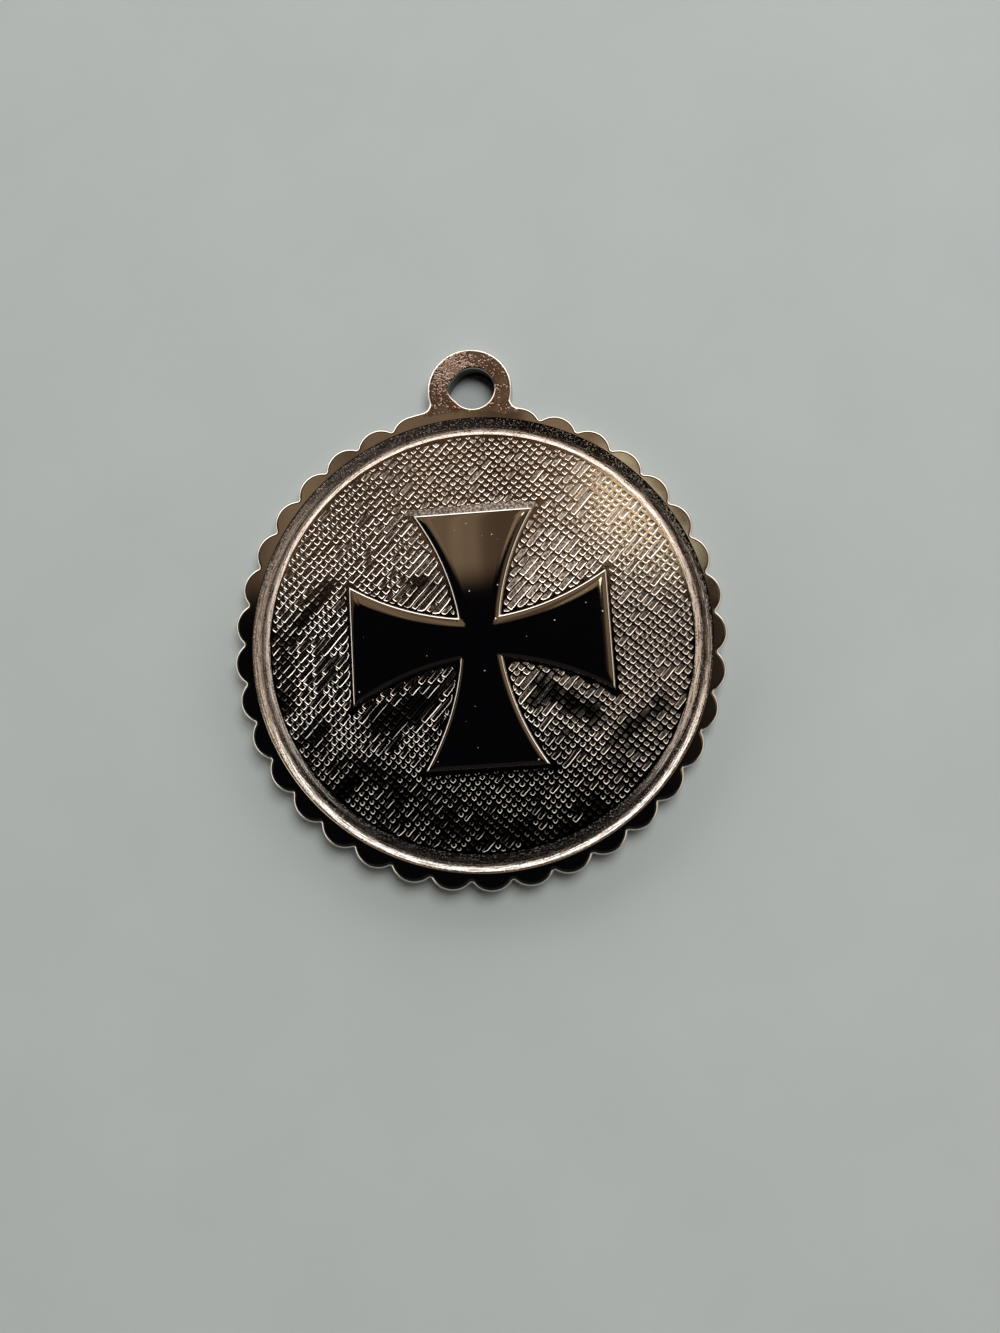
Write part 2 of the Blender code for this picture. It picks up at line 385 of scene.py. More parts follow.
for level in (THICKNESS, 0):
    print("faces filled at height", level, ":", len(fill_ring(medal, open_edges(medal, level))))

# %% [markdown]
# ## The shape of an arm
#
# Each arm of the cross flares out between two hollow sides and ends in a straight line.
# A hollow side is an arc. To make a smaller outline that stays parallel to the first, the
# arc keeps its centre and only its radius grows by the inset. Insetting the finished face
# instead would fold over at the sharp outer corners.

# %% Side of an arm
def arm_side(inset):
    """Centre and radius of the hollow side left of the upper arm, its corner and its root."""
    foot_corner = (-ARM_END / 2, CROSS_SPAN / 2)
    foot_root = (-ARM_ROOT / 2, ARM_ROOT / 2)
    centre, radius = bow_circle(foot_root, foot_corner, ARM_HOLLOW)
    radius += inset
    height = CROSS_SPAN / 2 - inset
    corner = (centre[0] + math.sqrt(radius ** 2 - (height - centre[1]) ** 2), height)
    middle = (centre[1] - centre[0]) / 2
    root = middle - math.sqrt((radius ** 2 - (centre[0] + centre[1]) ** 2 / 2) / 2)
    return centre, radius, corner, (-root, root)


print("radius of a hollow side:", round(arm_side(0)[1], 1), "mm")

# %% [markdown]
# ## The raised cross
#
# The cross rises with a steep little wall and then a long, low pillow, and it is that
# pillow that catches the light along the arms. One quarter of each level is drawn and
# spun into four, and each level is bridged to the next. A last narrow inset keeps the
# flat crown truly flat when it is shaded smooth.

# %% Levels of the cross
ARM_STEPS = 28
END_STEPS = 16
CROWN_MARGIN = 0.05
CROSS_LEVELS = [  # inset, rise above the field
    (0.00, 0.000),
    (0.04, 0.080),
    (0.09, 0.165),
    (0.14, 0.223),
    (0.19, 0.258),
    (0.27, 0.289),
    (0.37, 0.309),
    (0.50, 0.322),
    (0.67, 0.330),
    (0.89, 0.334),
]


def draw_quarter(bm, inset, height):
    """Draws a quarter of the cross at one level: two hollow sides and the end of an arm."""
    centre, _, corner, root = arm_side(inset)
    sweep = angle_from(centre, root) - angle_from(centre, corner)
    mirrored = (-centre[1], -centre[0])
    pen = bm.verts.new((*corner, height))
    pen = sweep_arc(bm, pen, centre, sweep, ARM_STEPS)
    pen = sweep_arc(bm, pen, mirrored, sweep, ARM_STEPS)
    for i in range(1, END_STEPS + 1):
        pen = straight_to(bm, pen, (-corner[1], corner[0] * (2 * i / END_STEPS - 1)))


print("levels:", len(CROSS_LEVELS), " rise:", CROSS_LEVELS[-1][1], "mm")

# %% Cross
def draw_level(bm, inset, height):
    """Draws one level of the cross and gives its edges."""
    before = set(bm.edges)
    draw_quarter(bm, inset, height)
    quarter = [e for e in bm.edges if e not in before]
    corners = list({v for e in quarter for v in e.verts})
    bmesh.ops.spin(bm, geom=corners + quarter, cent=(0, 0, 0), axis=(0, 0, 1),
                   angle=2 * math.pi, steps=4, use_duplicate=True)
    bmesh.ops.delete(bm, geom=quarter, context="EDGES")
    loop = [e for e in bm.edges if e not in before]
    bmesh.ops.remove_doubles(bm, verts=list({v for e in loop for v in e.verts}), dist=WELD)
    return [e for e in bm.edges if e not in before]


def raise_cross(bm):
    loops = [draw_level(bm, inset, FIELD_HEIGHT + rise) for inset, rise in CROSS_LEVELS]
    for lower, upper in zip(loops, loops[1:]):
        bmesh.ops.bridge_loops(bm, edges=lower + upper)
    crown = bmesh.ops.contextual_create(bm, geom=loops[-1])["faces"]
    bm.normal_update()
    bmesh.ops.inset_region(bm, faces=crown, thickness=CROWN_MARGIN, use_even_offset=True)


cross = bmesh.new()
raise_cross(cross)
bmesh.ops.translate(cross, verts=cross.verts[:], vec=(*STRIKE_CENTRE, 0))
print("cross:", len(cross.verts), "vertices,", len(cross.faces), "faces,",
      sum(len(e.link_faces) == 1 for e in cross.edges), "open edges at its foot")

# %% [markdown]
# ## Room for the hatch
#
# The ground behind the cross is cut into small pits, and the cutter stops a little short
# of the cross and of the groove, in a ragged fringe. A mask image could mark that ground.
# Distances do it more exactly: to the hollow side of the nearest arm, to the end of the
# arm, and to the edge of the field. A vertex that lies just outside is slid back onto the
# border, down the slope of that distance.

# %% Room for the hatch
BORDER = 0.07
UPPER_ARM_STRIP = 0.36
SLIDE_STEP = 0.01


def hatch_room(x, y):
    """How far a point lies inside the hatched ground, measured from the middle of the cross."""
    small, large = sorted((abs(x), abs(y)))
    centre, radius, _, _ = arm_side(0)
    beside_arm = radius - math.dist((-small, large), centre)
    beyond_arm = large - CROSS_SPAN / 2
    if y > abs(x):
        beyond_arm -= UPPER_ARM_STRIP
    return min(max(beside_arm, beyond_arm), FIELD_RADIUS - math.hypot(x, y)) - BORDER


def pull_inside(vert):
    """Moves a vertex that is just outside the hatched ground onto its border."""
    for _ in range(2):
        x, y = vert.co.x, vert.co.y
        room = hatch_room(x, y)
        if room < 0:
            rise_x = hatch_room(x + SLIDE_STEP, y) - hatch_room(x - SLIDE_STEP, y)
            rise_y = hatch_room(x, y + SLIDE_STEP) - hatch_room(x, y - SLIDE_STEP)
            slope = Vector((rise_x, rise_y)) / (2 * SLIDE_STEP)
            if slope.length > 0.1:
                vert.co.xy -= slope * room / slope.length_squared


print("room between two arms:", round(hatch_room(8, 8), 2), "mm")

# %% [markdown]
# ## A grid with one face for each pit
#
# Two sets of lines cross at a right angle, turned a little more than 45 degrees. An Array
# modifier would repeat one pit exactly, and the eye finds such a pattern at once. A die
# that is cut by hand never has two equal cells. So a grid of faces is laid over the
# field, its lines wander slowly, and every corner moves a few hundredths of a millimetre
# at random. The random numbers start from a fixed seed, so each run gives the same piece.

# %% Grid of cells
HATCH_PITCH = 0.52
HATCH_TURN = math.radians(46.5)
HATCH_JITTER = 0.014
HATCH_WANDER = 0.06
WANDER_SCALE = 0.3
HATCH_OVERHANG = 0.62

random.seed(33)
noise.seed_set(33)


def lay_grid(bm):
    """Lays the grid over the whole field and keeps what lies inside it."""
    count = 2 * math.ceil(FIELD_RADIUS / HATCH_PITCH) + 2
    bmesh.ops.create_grid(bm, x_segments=count, y_segments=count, size=count * HATCH_PITCH / 2)
    bmesh.ops.rotate(bm, verts=bm.verts[:], cent=(0, 0, 0),
                     matrix=Matrix.Rotation(HATCH_TURN, 3, "Z"))
    for vert in bm.verts:
        wander = noise.noise_vector(vert.co * WANDER_SCALE) * HATCH_WANDER
        vert.co.x += wander.x + random.gauss(0, HATCH_JITTER)
        vert.co.y += wander.y + random.gauss(0, HATCH_JITTER)
    far = HATCH_OVERHANG * HATCH_PITCH
    outside = [f for f in bm.faces if min(hatch_room(*v.co.xy) for v in f.verts) < -far]
    bmesh.ops.delete(bm, geom=outside, context="FACES")
    for vert in bm.verts:
        pull_inside(vert)


field = bmesh.new()
lay_grid(field)
print("cells laid:", len(field.faces))

# %% [markdown]
# ## Cells that came out badly
#
# Where the grid meets the border some cells are too thin to hold a pit, and some would
# bridge a corner of the cross. They are deleted. A vertex that joins two cells only at
# their corners would pinch the mesh, so the smaller cell goes as well, until none is
# left.

# %% Width of a cell
def width(face):
    """The least distance between two parallel lines that hold the face between them."""
    widths = []
    for edge in face.edges:
        start, end = (v.co for v in edge.verts)
        side = (end - start).normalized().cross(Vector((0, 0, 1)))
        widths.append(max(abs((v.co - start).dot(side)) for v in face.verts))
    return min(widths)


print("widest cell:", round(max(width(f) for f in field.faces), 2), "mm")

# %% Drop the spoilt cells
LEAST_CELL = 0.27
BORDER_SLACK = 0.4


def spoilt(face):
    """True for a cell that came out thin, or that has a side across a corner of the cross."""
    for edge in face.edges:
        a, b = edge.verts
        room = min(hatch_room(*a.co.lerp(b.co, i / 6).xy) for i in range(7))
        if room < -BORDER_SLACK * BORDER:
            return True
    return width(face) < LEAST_CELL


def drop_spoilt(bm):
    """Deletes spoilt cells, and cells that touch others only at a corner."""
    bmesh.ops.delete(bm, geom=[f for f in bm.faces if spoilt(f)], context="FACES")
    while True:
        pinched = [v for v in bm.verts if sum(e.is_boundary for e in v.link_edges) > 2]
        if not pinched:
            break
        smallest = {min(v.link_faces, key=lambda f: f.calc_area()) for v in pinched}
        bmesh.ops.delete(bm, geom=list(smallest), context="FACES")


drop_spoilt(field)
print("single cells:", len(field.faces))

# %% [markdown]
# ## Long cells
#
# Only one set of lines runs right across the field. The other is broken, so that many
# pits are two, three or four cells long, and beside the roots of the arms hardly any
# cross line is left. Long cells could be drawn separately, but dissolving the edge
# between two faces joins them and keeps the mesh closed. A short table says where the
# long ones gather, and a later row wins over an earlier one.

# %% Where cells are long
LONG_CELLS = [  # name, x, y, radius, share of cross lines that are missing
    ("left field", -10.5, -0.5, 4.2, 0.42),
    ("above the left arm", -6.0, 6.5, 3.2, 0.35),
    ("below the left arm", -6.5, -5.5, 3.2, 0.38),
    ("above the right arm", 6.5, 5.5, 3.0, 0.32),
    ("below the right arm", 6.0, -5.5, 2.6, 0.32),
    ("left of the upper arm", -6.5, 12.0, 3.0, 0.32),
    ("right of the upper arm", 7.5, 12.0, 3.0, 0.30),
    ("root above the left arm", -3.7, 4.0, 2.1, 0.72),
    ("root below the left arm", -3.7, -4.0, 2.3, 0.72),
    ("root above the right arm", 3.5, 3.8, 1.9, 0.62),
    ("root below the right arm", 3.6, -3.9, 2.0, 0.62),
]
LONG_SHARE = 0.11


def missing_share(x, y):
    share = LONG_SHARE
    for _, spot_x, spot_y, radius, spot_share in LONG_CELLS:
        if math.hypot(x - spot_x, y - spot_y) < radius:
            share = spot_share
    return share


print("cross lines missing above the root of the left arm:", missing_share(-3.7, 4.0))

# %% Join cells
MAIN_LINE = Vector((math.cos(HATCH_TURN), math.sin(HATCH_TURN)))


def join_cells(bm):
    joined = []
    for edge in bm.edges:
        a, b = edge.verts
        middle = (a.co + b.co) / 2
        runs_across = abs((b.co - a.co).xy.normalized().dot(MAIN_LINE)) < 0.5
        if edge.is_manifold and runs_across and random.random() < missing_share(middle.x, middle.y):
            joined.append(edge)
    bmesh.ops.dissolve_edges(bm, edges=joined, use_verts=False, use_face_split=False)


join_cells(field)
bmesh.ops.translate(field, verts=field.verts[:], vec=(*STRIKE_CENTRE, FIELD_HEIGHT))
print("cells after joining:", len(field.faces))

# %% [markdown]
# ## One mesh from three
#
# The cross and the ground are struck into the plate, so nothing separates them on the
# real piece. Three meshes that only touch would leave hidden gaps, and each would need a
# bottom. They are put into one mesh instead. Their rings all end at the field's height,
# so the narrow strips between them can be filled: the border round the foot of the cross,
# and the border round the field. The faces are given their region first, because the
# cells are about to be cut.

# %% Join the parts
PLATE, WALL, GROOVE, RIDGE, PIT, CROSS, BACK = range(7)
CROSS_STRIP = (0, 13.5)
FIELD_STRIP = (13.5, 17)


def pour(source, target, region):
    """Copies all of one bmesh into another, as one region, and empties the first."""
    for face in source.faces:
        face.material_index = region
    holder = bpy.data.meshes.new("pour")
    source.to_mesh(holder)
    source.free()
    target.from_mesh(holder)
    bpy.data.meshes.remove(holder)


pour(cross, medal, CROSS)
pour(field, medal, PIT)
for inner, outer in (CROSS_STRIP, FIELD_STRIP):
    for face in fill_ring(medal, open_edges(medal, FIELD_HEIGHT, inner, outer)):
        face.material_index = RIDGE
print("faces in all:", len(medal.faces), " open edges left:",
      sum(not e.is_manifold for e in medal.edges))

# %% [markdown]
# ## Where the piece is worn
#
# Wear and tarnish fill some of the hatch: dark streaks along its lines and beside the
# cross, and dull patches near the border. They are particular to this piece, so noise
# alone can't place them. A short table gives each its two ends, its half width and its
# strength, and a fine noise makes its edge ragged. Both the depth of the pits and the
# colour of the metal will read it.

# %% Worn places
WORN = [  # name, from x, from y, to x, to y, half width, strength
    ("long streak left", -14.3, 1.6, -11.3, 5.2, 0.5, 0.8),
    ("streak below left arm", -8.2, -6.2, -4.2, -4.3, 0.90, 0.85),
    ("root above the left arm", -4.6, 5.0, -2.9, 4.1, 0.6, 0.9),
    ("streak lower left", -11.2, -11.2, -10.0, -10.2, 0.6, 0.9),
    ("streak below right arm", 4.6, -4.0, 8.2, -6.2, 0.8, 0.8),
    ("streak right border", 10.6, -7.8, 13.4, -5.7, 0.75, 0.5),
    ("lower patch", -6.8, -12.8, 3.0, -14.8, 1.5, 0.25),
    ("lower left patch", -8.8, -9.0, -6.2, -11.4, 0.9, 0.35),
    ("lower right patch", 4.6, -15.4, 8.2, -13.4, 0.9, 0.4),
    ("left border patch", -15.3, 0.9, -15.0, -4.0, 0.7, 0.5),
    ("left lower patch", -13.2, -6.8, -12.2, -5.8, 0.8, 0.6),
]
RAGGED = 0.9


def near_line(point, a, b):
    """Distance from a point to the straight line between a and b, in the plane."""
    run = b - a
    share = min(1.0, max(0.0, (point - a).dot(run) / run.length_squared))
    return (point - a - run * share).length


def worn_at(x, y):
    """How worn the place is, from 0 to 1."""
    ragged = RAGGED * noise.noise(Vector((x * 1.4, y * 1.4, 8.0)))
    worst = 0.0
    for _, ax, ay, bx, by, half, strength in WORN:
        off = near_line(Vector((x, y)), Vector((ax, ay)), Vector((bx, by))) / half + ragged
        worst = max(worst, strength * math.exp(-max(0.0, off) ** 2))
    return worst


print("worn places:", len(WORN), " wear below the left arm:", round(worn_at(-6.2, -5.2), 2))

# %% [markdown]
# ## Ridges between the pits
#
# The cutter leaves a flat, polished ridge between two pits. Insetting each cell by half a
# ridge makes one, and the strip round the hole that is left becomes the ridge. Ridges are
# wider towards the top and the bottom of the field, and where it is worn, and a narrow
# cell gets a narrower one, so that it can't fold over. Cells that share a width are inset
# in one call, because a call for each would be slow. The pits' corners are then cut off,
# as a round tool leaves them.

# %% Width of the ridges
LEAST_RIDGE_HALF = 0.046
MOST_RIDGE_HALF = 0.14
WIDER_UP = 0.036
WIDER_DOWN = 0.058
WIDER_WORN = 0.05
RIDGE_JITTER = 0.008


def ridge_half(x, y):
    """Half the width of the ridges round a pit, wider near the top, the bottom and wear."""
    far_off = min(1.0, max(0.0, (abs(y) - 6.0) / 5.0))
    wider = (WIDER_UP if y > 0 else WIDER_DOWN) * far_off
    half = LEAST_RIDGE_HALF + wider + WIDER_WORN * worn_at(x, y) + random.gauss(0, RIDGE_JITTER)
    return min(MOST_RIDGE_HALF, max(LEAST_RIDGE_HALF, 0.01 * round(100 * half)))


print("ridges between wide cells:", 2 * LEAST_RIDGE_HALF, "to", 2 * MOST_RIDGE_HALF, "mm")

# %% Leave the ridges
WIDEST_SHARE = 0.36
CORNER_ROUND = 0.055
CORNER_BELOW = 2.1  # radians
WIDE_CELL = 2.5 * CORNER_ROUND


def leave_ridges(bm, cells):
    groups = {}
    for cell in cells:
        middle = cell.calc_center_median() - Vector((*STRIKE_CENTRE, 0))
        half = min(ridge_half(middle.x, middle.y), round(WIDEST_SHARE * width(cell), 2))
        groups.setdefault(half, []).append(cell)
    for half, group in groups.items():
        ridges = bmesh.ops.inset_individual(bm, faces=group, thickness=half, depth=0,
                                            use_even_offset=True)["faces"]
        for face in ridges:
            face.material_index = RIDGE


def round_corners(bm, cells):
    wide = [f for f in cells if width(f) > WIDE_CELL]
    corners = [loop.vert for f in wide for loop in f.loops if loop.calc_angle() < CORNER_BELOW]
    made = bmesh.ops.bevel(bm, geom=corners, offset=CORNER_ROUND, affect="VERTICES",
                           segments=1, profile=0.5, material=-1)["faces"]
    for face in made:
        if len(face.verts) == 3:
            face.material_index = RIDGE


cells = [f for f in medal.faces if f.material_index == PIT]
leave_ridges(medal, cells)
round_corners(medal, cells)
print("ridge faces:", sum(f.material_index == RIDGE for f in medal.faces))

# %% [markdown]
# ## Cutting the pits
#
# Two more insets take each pit down: a steep wall and a softer one, down to a flat floor.
# The wall on one side of a pit catches the light as a bright hook, so the walls become a
# region of their own. A bump map would cost no faces, but from close by it gives no such
# hook and no real rim. No two pits are equally deep: a slow noise and chance vary them,
# and where the die is worn they are shallow and stay dark.

# %% Depth of the pits
PIT_STEPS = [  # name, inset, drop
    ("steep wall", 0.040, 0.036),
    ("soft wall", 0.034, 0.020),
]
DEPTH_DRIFT = 0.25
DEPTH_JITTER = 0.10
DEPTH_WORN_AWAY = 0.7


def depth_share(x, y):
    """How deep a pit is, as a share of the full drop, less where the place is worn."""
    drift = DEPTH_DRIFT * noise.noise(Vector((x * 0.45, y * 0.45, 3.0)))
    share = 1.0 + drift + random.gauss(0, DEPTH_JITTER)
    return share * (1 - DEPTH_WORN_AWAY * worn_at(x, y))


print("depth of a full pit:", round(sum(drop for _, _, drop in PIT_STEPS), 3), "mm")

# %% Sink the pits
FULL_PIT = 0.40


def inset_down(bm, sized, inset, drop):
    """Insets faces and lowers them. Each comes with its share of the inset and of the drop."""
    groups = {}
    for face, across, down in sized:
        groups.setdefault((across, down), []).append(face)
    for (across, down), group in groups.items():
        walls = bmesh.ops.inset_individual(bm, faces=group, thickness=inset * across,
                                           depth=-drop * down, use_even_offset=True)["faces"]
        for wall in walls:
            wall.material_index = WALL


def sink_pits(bm):
    pits = [f for f in bm.faces if f.material_index == PIT and len(f.verts) > 3]
    sized = []
    for pit in pits:
        middle = pit.calc_center_median()
        across = min(1.0, max(0.2, math.floor(10 * width(pit) / FULL_PIT) / 10))
        down = across * min(1.2, max(0.15, depth_share(middle.x, middle.y)))
        sized.append((pit, across, round(down, 1)))
    for _, inset, drop in PIT_STEPS:
        inset_down(bm, sized, inset, drop)
    return len(pits)


print("pits cut:", sink_pits(medal), " open edges:", sum(not e.is_manifold for e in medal.edges))

# %% [markdown]
# ## Regions
#
# Every finish of the piece belongs to a region: the polished plate with the lug, the
# walls of the pits, the satin groove, the ridges, the frosted floors of the pits, the
# polished cross and the plain back. Faces could be picked by hand, but they would be lost
# as soon as a size changes. Here each face is given its region by where it lies. The
# narrow strip over the upper arm was never polished, so it is frosted like the floors.

# %% Name the regions
STRIP_REACH = 0.5
STRIP_SPREAD = 0.4
RIM_ROLL = 0.1


def over_upper_arm(place):
    """True on the strip between the end of the upper arm and the hatch."""
    beyond = place.y - STRIKE_CENTRE[1] - CROSS_SPAN / 2
    return 0 < beyond < STRIP_REACH and abs(place.x) < ARM_END / 2 + STRIP_SPREAD


def name_regions(bm):
    for face in bm.faces:
        middle = face.calc_center_median()
        from_strike = math.dist(middle.xy, STRIKE_CENTRE)
        if face.normal.z < -0.9 and middle.z < THICKNESS / 2:
            face.material_index = BACK
        elif face.material_index in (RIDGE, WALL, PIT, CROSS):
            if over_upper_arm(middle):
                face.material_index = PIT
        elif FIELD_RADIUS < from_strike < RIM_INNER_RADIUS - RIM_ROLL and face.normal.z > 0.1:
            face.material_index = GROOVE


bmesh.ops.recalc_face_normals(medal, faces=medal.faces[:])
name_regions(medal)
print("faces in each region:",
      [sum(f.material_index == region for f in medal.faces) for region in range(7)])

# %% [markdown]
# ## Smooth and sharp
#
# Curved metal has to be shaded smooth, or its facets show in the reflections. Flat metal
# has to stay flat, or the shading of its neighbours bends the mirror. So every face is
# smooth, and an edge is marked sharp where it turns by more than 30 degrees, or where a
# flat face meets a tilted one. Inside the walls of a pit all edges stay smooth.

# %% Sharp edges
SHARP = math.radians(30)
FLAT_MEETS_TILTED = math.radians(4)


def mark_sharp(bm):
    for face in bm.faces:
        face.smooth = True
    for edge in bm.edges:
        if {f.material_index for f in edge.link_faces} == {WALL}:
            continue
        flat_sides = sum(f.normal.z > 0.99999 for f in edge.link_faces)
        turned = edge.calc_face_angle(0)
        edge.smooth = not (turned > SHARP or (flat_sides == 1 and turned > FLAT_MEETS_TILTED))


mark_sharp(medal)
print("sharp edges:", sum(not e.smooth for e in medal.edges), "of", len(medal.edges),
      " volume:", round(medal.calc_volume(), 1), "cubic mm")

# %% [markdown]
# ## Wear, written into the mesh
#
# Tarnish sits where fingers don't rub, which is where the pits are already shallow. A
# painted texture could hold it, but that needs an image and a layout for it. A number at
# each vertex needs neither, and it stays in place when the piece is exported. The
# materials of the hatch will read it by its name.

# %% Tarnish attribute
def write_tarnish(bm):
    layer = bm.verts.layers.float.new("tarnish")
    for vert in bm.verts:
        vert[layer] = worn_at(vert.co.x, vert.co.y)
    return sum(vert[layer] > 0.5 for vert in bm.verts)


print("vertices that are more than half tarnished:", write_tarnish(medal))

# %% [markdown]
# ## Into the scene
#
# The mesh is shrunk to metres in its own vertices, so the object keeps a scale of 1 and
# sits at the origin, and a pattern laid on it can't slide. It rides on the frame's one
# body and takes the place of the frame's plain solid. Each region gets an empty slot for
# its material.

# %% Make the pendant
bmesh.ops.scale(medal, verts=medal.verts[:], vec=(MM, MM, MM))
mesh = bpy.data.meshes.new("pendant")
medal.to_mesh(mesh)
medal.free()
for region in range(7):
    mesh.materials.append(None)
pendant = bpy.data.objects.new("pendant", mesh)
bpy.context.scene.collection.objects.link(pendant)
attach(pendant, "root")
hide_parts("cross_pendant")
print("pendant:", len(mesh.vertices), "vertices,",
      sum(len(p.vertices) - 2 for p in mesh.polygons), "triangles")

# %% [markdown]
# ## Short ways to add nodes
#
# A material is a small network of nodes. Drawn by hand it is slow to repeat, and written
# out in full it takes three lines for each node. These helpers keep it readable. The
# first adds a node, fills in its plain values and wires its inputs. The others do a sum
# with two signals, and find how long the line in the plane is that two signals span.

# %% Add a node
def add(tree, kind, settings=None, **inputs):
    """Adds a node. Settings are its own options, and inputs are values or other sockets."""
    node = tree.nodes.new("ShaderNode" + kind)
    for key, value in (settings or {}).items():
        setattr(node, key, value)
    for key, value in inputs.items():
        key = int(key[1:]) if key[0] == "i" and key[1:].isdigit() else key.replace("_", " ")
        if isinstance(value, bpy.types.NodeSocket):
            tree.links.new(value, node.inputs[key])
        else:
            node.inputs[key].default_value = value
    return node


def maths(tree, operation, a, b=0.0):
    return add(tree, "Math", {"operation": operation}, i0=a, i1=b).outputs[0]


def flat_squares(tree, x, y):
    return maths(tree, "ADD", maths(tree, "POWER", x, 2.0), maths(tree, "POWER", y, 2.0))


def flat_length(tree, x, y):
    """How long the line from nought to x, y is."""
    return maths(tree, "SQRT", flat_squares(tree, x, y))


print("kinds of shader node to choose from:",
      sum(kind.startswith("ShaderNode") for kind in dir(bpy.types)))

# %% [markdown]
# ## Soft steps and mixes
#
# Most of a finish is said in one of two ways: this grows as that grows, or this colour
# gives way to that one. A ColorRamp would do both, but its stops are hard to read in
# code. A smooth step between two bounds says the first in one line, and a mix the second.

# %% Bands and blends
def band(tree, value, low, high, out_low=0.0, out_high=1.0):
    """Goes smoothly from out_low to out_high while value goes from low to high."""
    settings = {"interpolation_type": "SMOOTHSTEP"}
    made = add(tree, "MapRange", settings, Value=value, From_Min=low, From_Max=high,
               To_Min=out_low, To_Max=out_high)
    return made.outputs["Result"]


def blend(tree, share, first, second):
    """Mixes two colours by a share from 0, all first, to 1, all second."""
    made = add(tree, "Mix", {"data_type": "RGBA"}, Factor=share)
    for name, colour in (("A_Color", first), ("B_Color", second)):
        socket = next(s for s in made.inputs if s.identifier == name)
        if isinstance(colour, bpy.types.NodeSocket):
            tree.links.new(colour, socket)
        else:
            socket.default_value = (*colour, 1.0)
    return next(s for s in made.outputs if s.identifier == "Result_Color")


print("a quarter of the way a soft step has risen by", 3 * 0.25 ** 2 - 2 * 0.25 ** 3)

# %% [markdown]
# ## A metal for one region
#
# All seven finishes are bare metal, so they start alike: a shader that is fully metallic,
# and the place on the piece in millimetres, which every pattern is laid on. Noise gives
# grain, patches and streaks, which are the same noise at another scale or drawn out one
# way. Bump bends the light as a fine roughness does, which is too small to model.

# %% Start a metal
def new_metal(name, region):
    """Gives a new material's tree, its shader and the place on the piece in millimetres."""
    made = bpy.data.materials.new(name)
    made.use_nodes = True
    tree = made.node_tree
    shader = tree.nodes["Principled BSDF"]
    shader.inputs["Metallic"].default_value = 1.0
    here = add(tree, "TexCoord").outputs["Object"]
    place = add(tree, "VectorMath", {"operation": "SCALE"}, i0=here, Scale=1 / MM).outputs[0]
    mesh.materials[region] = made
    print(name, "covers", sum(p.material_index == region for p in mesh.polygons), "faces")
    return tree, shader, place


def speckle(tree, place, scale, detail=2.0, stretch=(1, 1, 1), turn=0.0):
    """Noise on the piece, finer with scale, and drawn out where stretch is small."""
    laid = add(tree, "Mapping", None, Vector=place, Rotation=(0, 0, turn), Scale=stretch)
    made = add(tree, "TexNoise", None, Vector=laid.outputs[0], Scale=scale, Detail=detail)
    return made.outputs["Fac"]


def roughen(tree, shader, height, distance, strength=1.0):
    """Bends the light as if the surface had this height, given in millimetres."""
    bump = add(tree, "Bump", None, Height=height, Distance=distance * MM, Strength=strength)
    tree.links.new(bump.outputs["Normal"], shader.inputs["Normal"])


print("slots waiting for a metal:", len(mesh.materials))

# %% [markdown]
# ## Plate with the worn lug
#
# The rim and the rounded edge are bright plating, and the lug is rubbed by its ring, so
# that its plating is pitted and shows pinkish brown and silver grains. The rim and the
# lug are one face, and cutting it apart would leave a seam. So one material serves both:
# how worn it is grows with the distance from the middle of the disc, and fades on the
# rolled edge. Grains are thickest beside the hole. The wall of the hole is painted near
# black, as painted shade.

# %% Wear of the lug
RUBBED_FROM_LUG = (-1.1, 1.6)


def lug_wear(tree, place, grain, coarse):
    """Gives how worn the metal is, and how much of it shows grains."""
    x, y, z = add(tree, "SeparateXYZ", None, Vector=place).outputs
    off_x = maths(tree, "SUBTRACT", x, LUG_CENTRE[0])
    off_y = maths(tree, "SUBTRACT", y, LUG_CENTRE[1])
    near_lug = band(tree, flat_length(tree, off_x, off_y), 4.4, 4.0)
    out = add(tree, "VectorMath", {"operation": "LENGTH"}, i0=place).outputs["Value"]
    ragged = maths(tree, "MULTIPLY", speckle(tree, place, 1.6, 4.0), 0.8)
    worn = maths(tree, "MULTIPLY", band(tree, maths(tree, "ADD", out, ragged), 18.75, 19.15),
                 near_lug)
    worn = maths(tree, "MULTIPLY", worn, band(tree, z, 1.565, 1.597))

    rubbed_x = maths(tree, "SUBTRACT", off_x, RUBBED_FROM_LUG[0])
    rubbed_y = maths(tree, "SUBTRACT", off_y, RUBBED_FROM_LUG[1])
    many = band(tree, flat_length(tree, rubbed_x, rubbed_y), 2.8, 0.4, -0.06, 0.15)
    few = band(tree, coarse, 0.62, 0.40, 0.0, 0.09)
    level = maths(tree, "SUBTRACT", maths(tree, "ADD", grain, many), few)
    return worn, maths(tree, "MULTIPLY", band(tree, level, 0.48, 0.62), worn)


print("the lug is rubbed most near x", round(LUG_CENTRE[0] + RUBBED_FROM_LUG[0], 2),
      "and y", round(LUG_CENTRE[1] + RUBBED_FROM_LUG[1], 2))

# %% Plate and lug
PLATE_COLOUR = (0.66, 0.62, 0.57)
WORN_COLOUR = (0.54, 0.44, 0.38)
WORN_PATCH_COLOUR = (0.38, 0.25, 0.21)
WORN_GRAIN_COLOUR = (0.95, 0.72, 0.64)
HOLE_WALL_SHADE_COLOUR = (0.07, 0.065, 0.055)


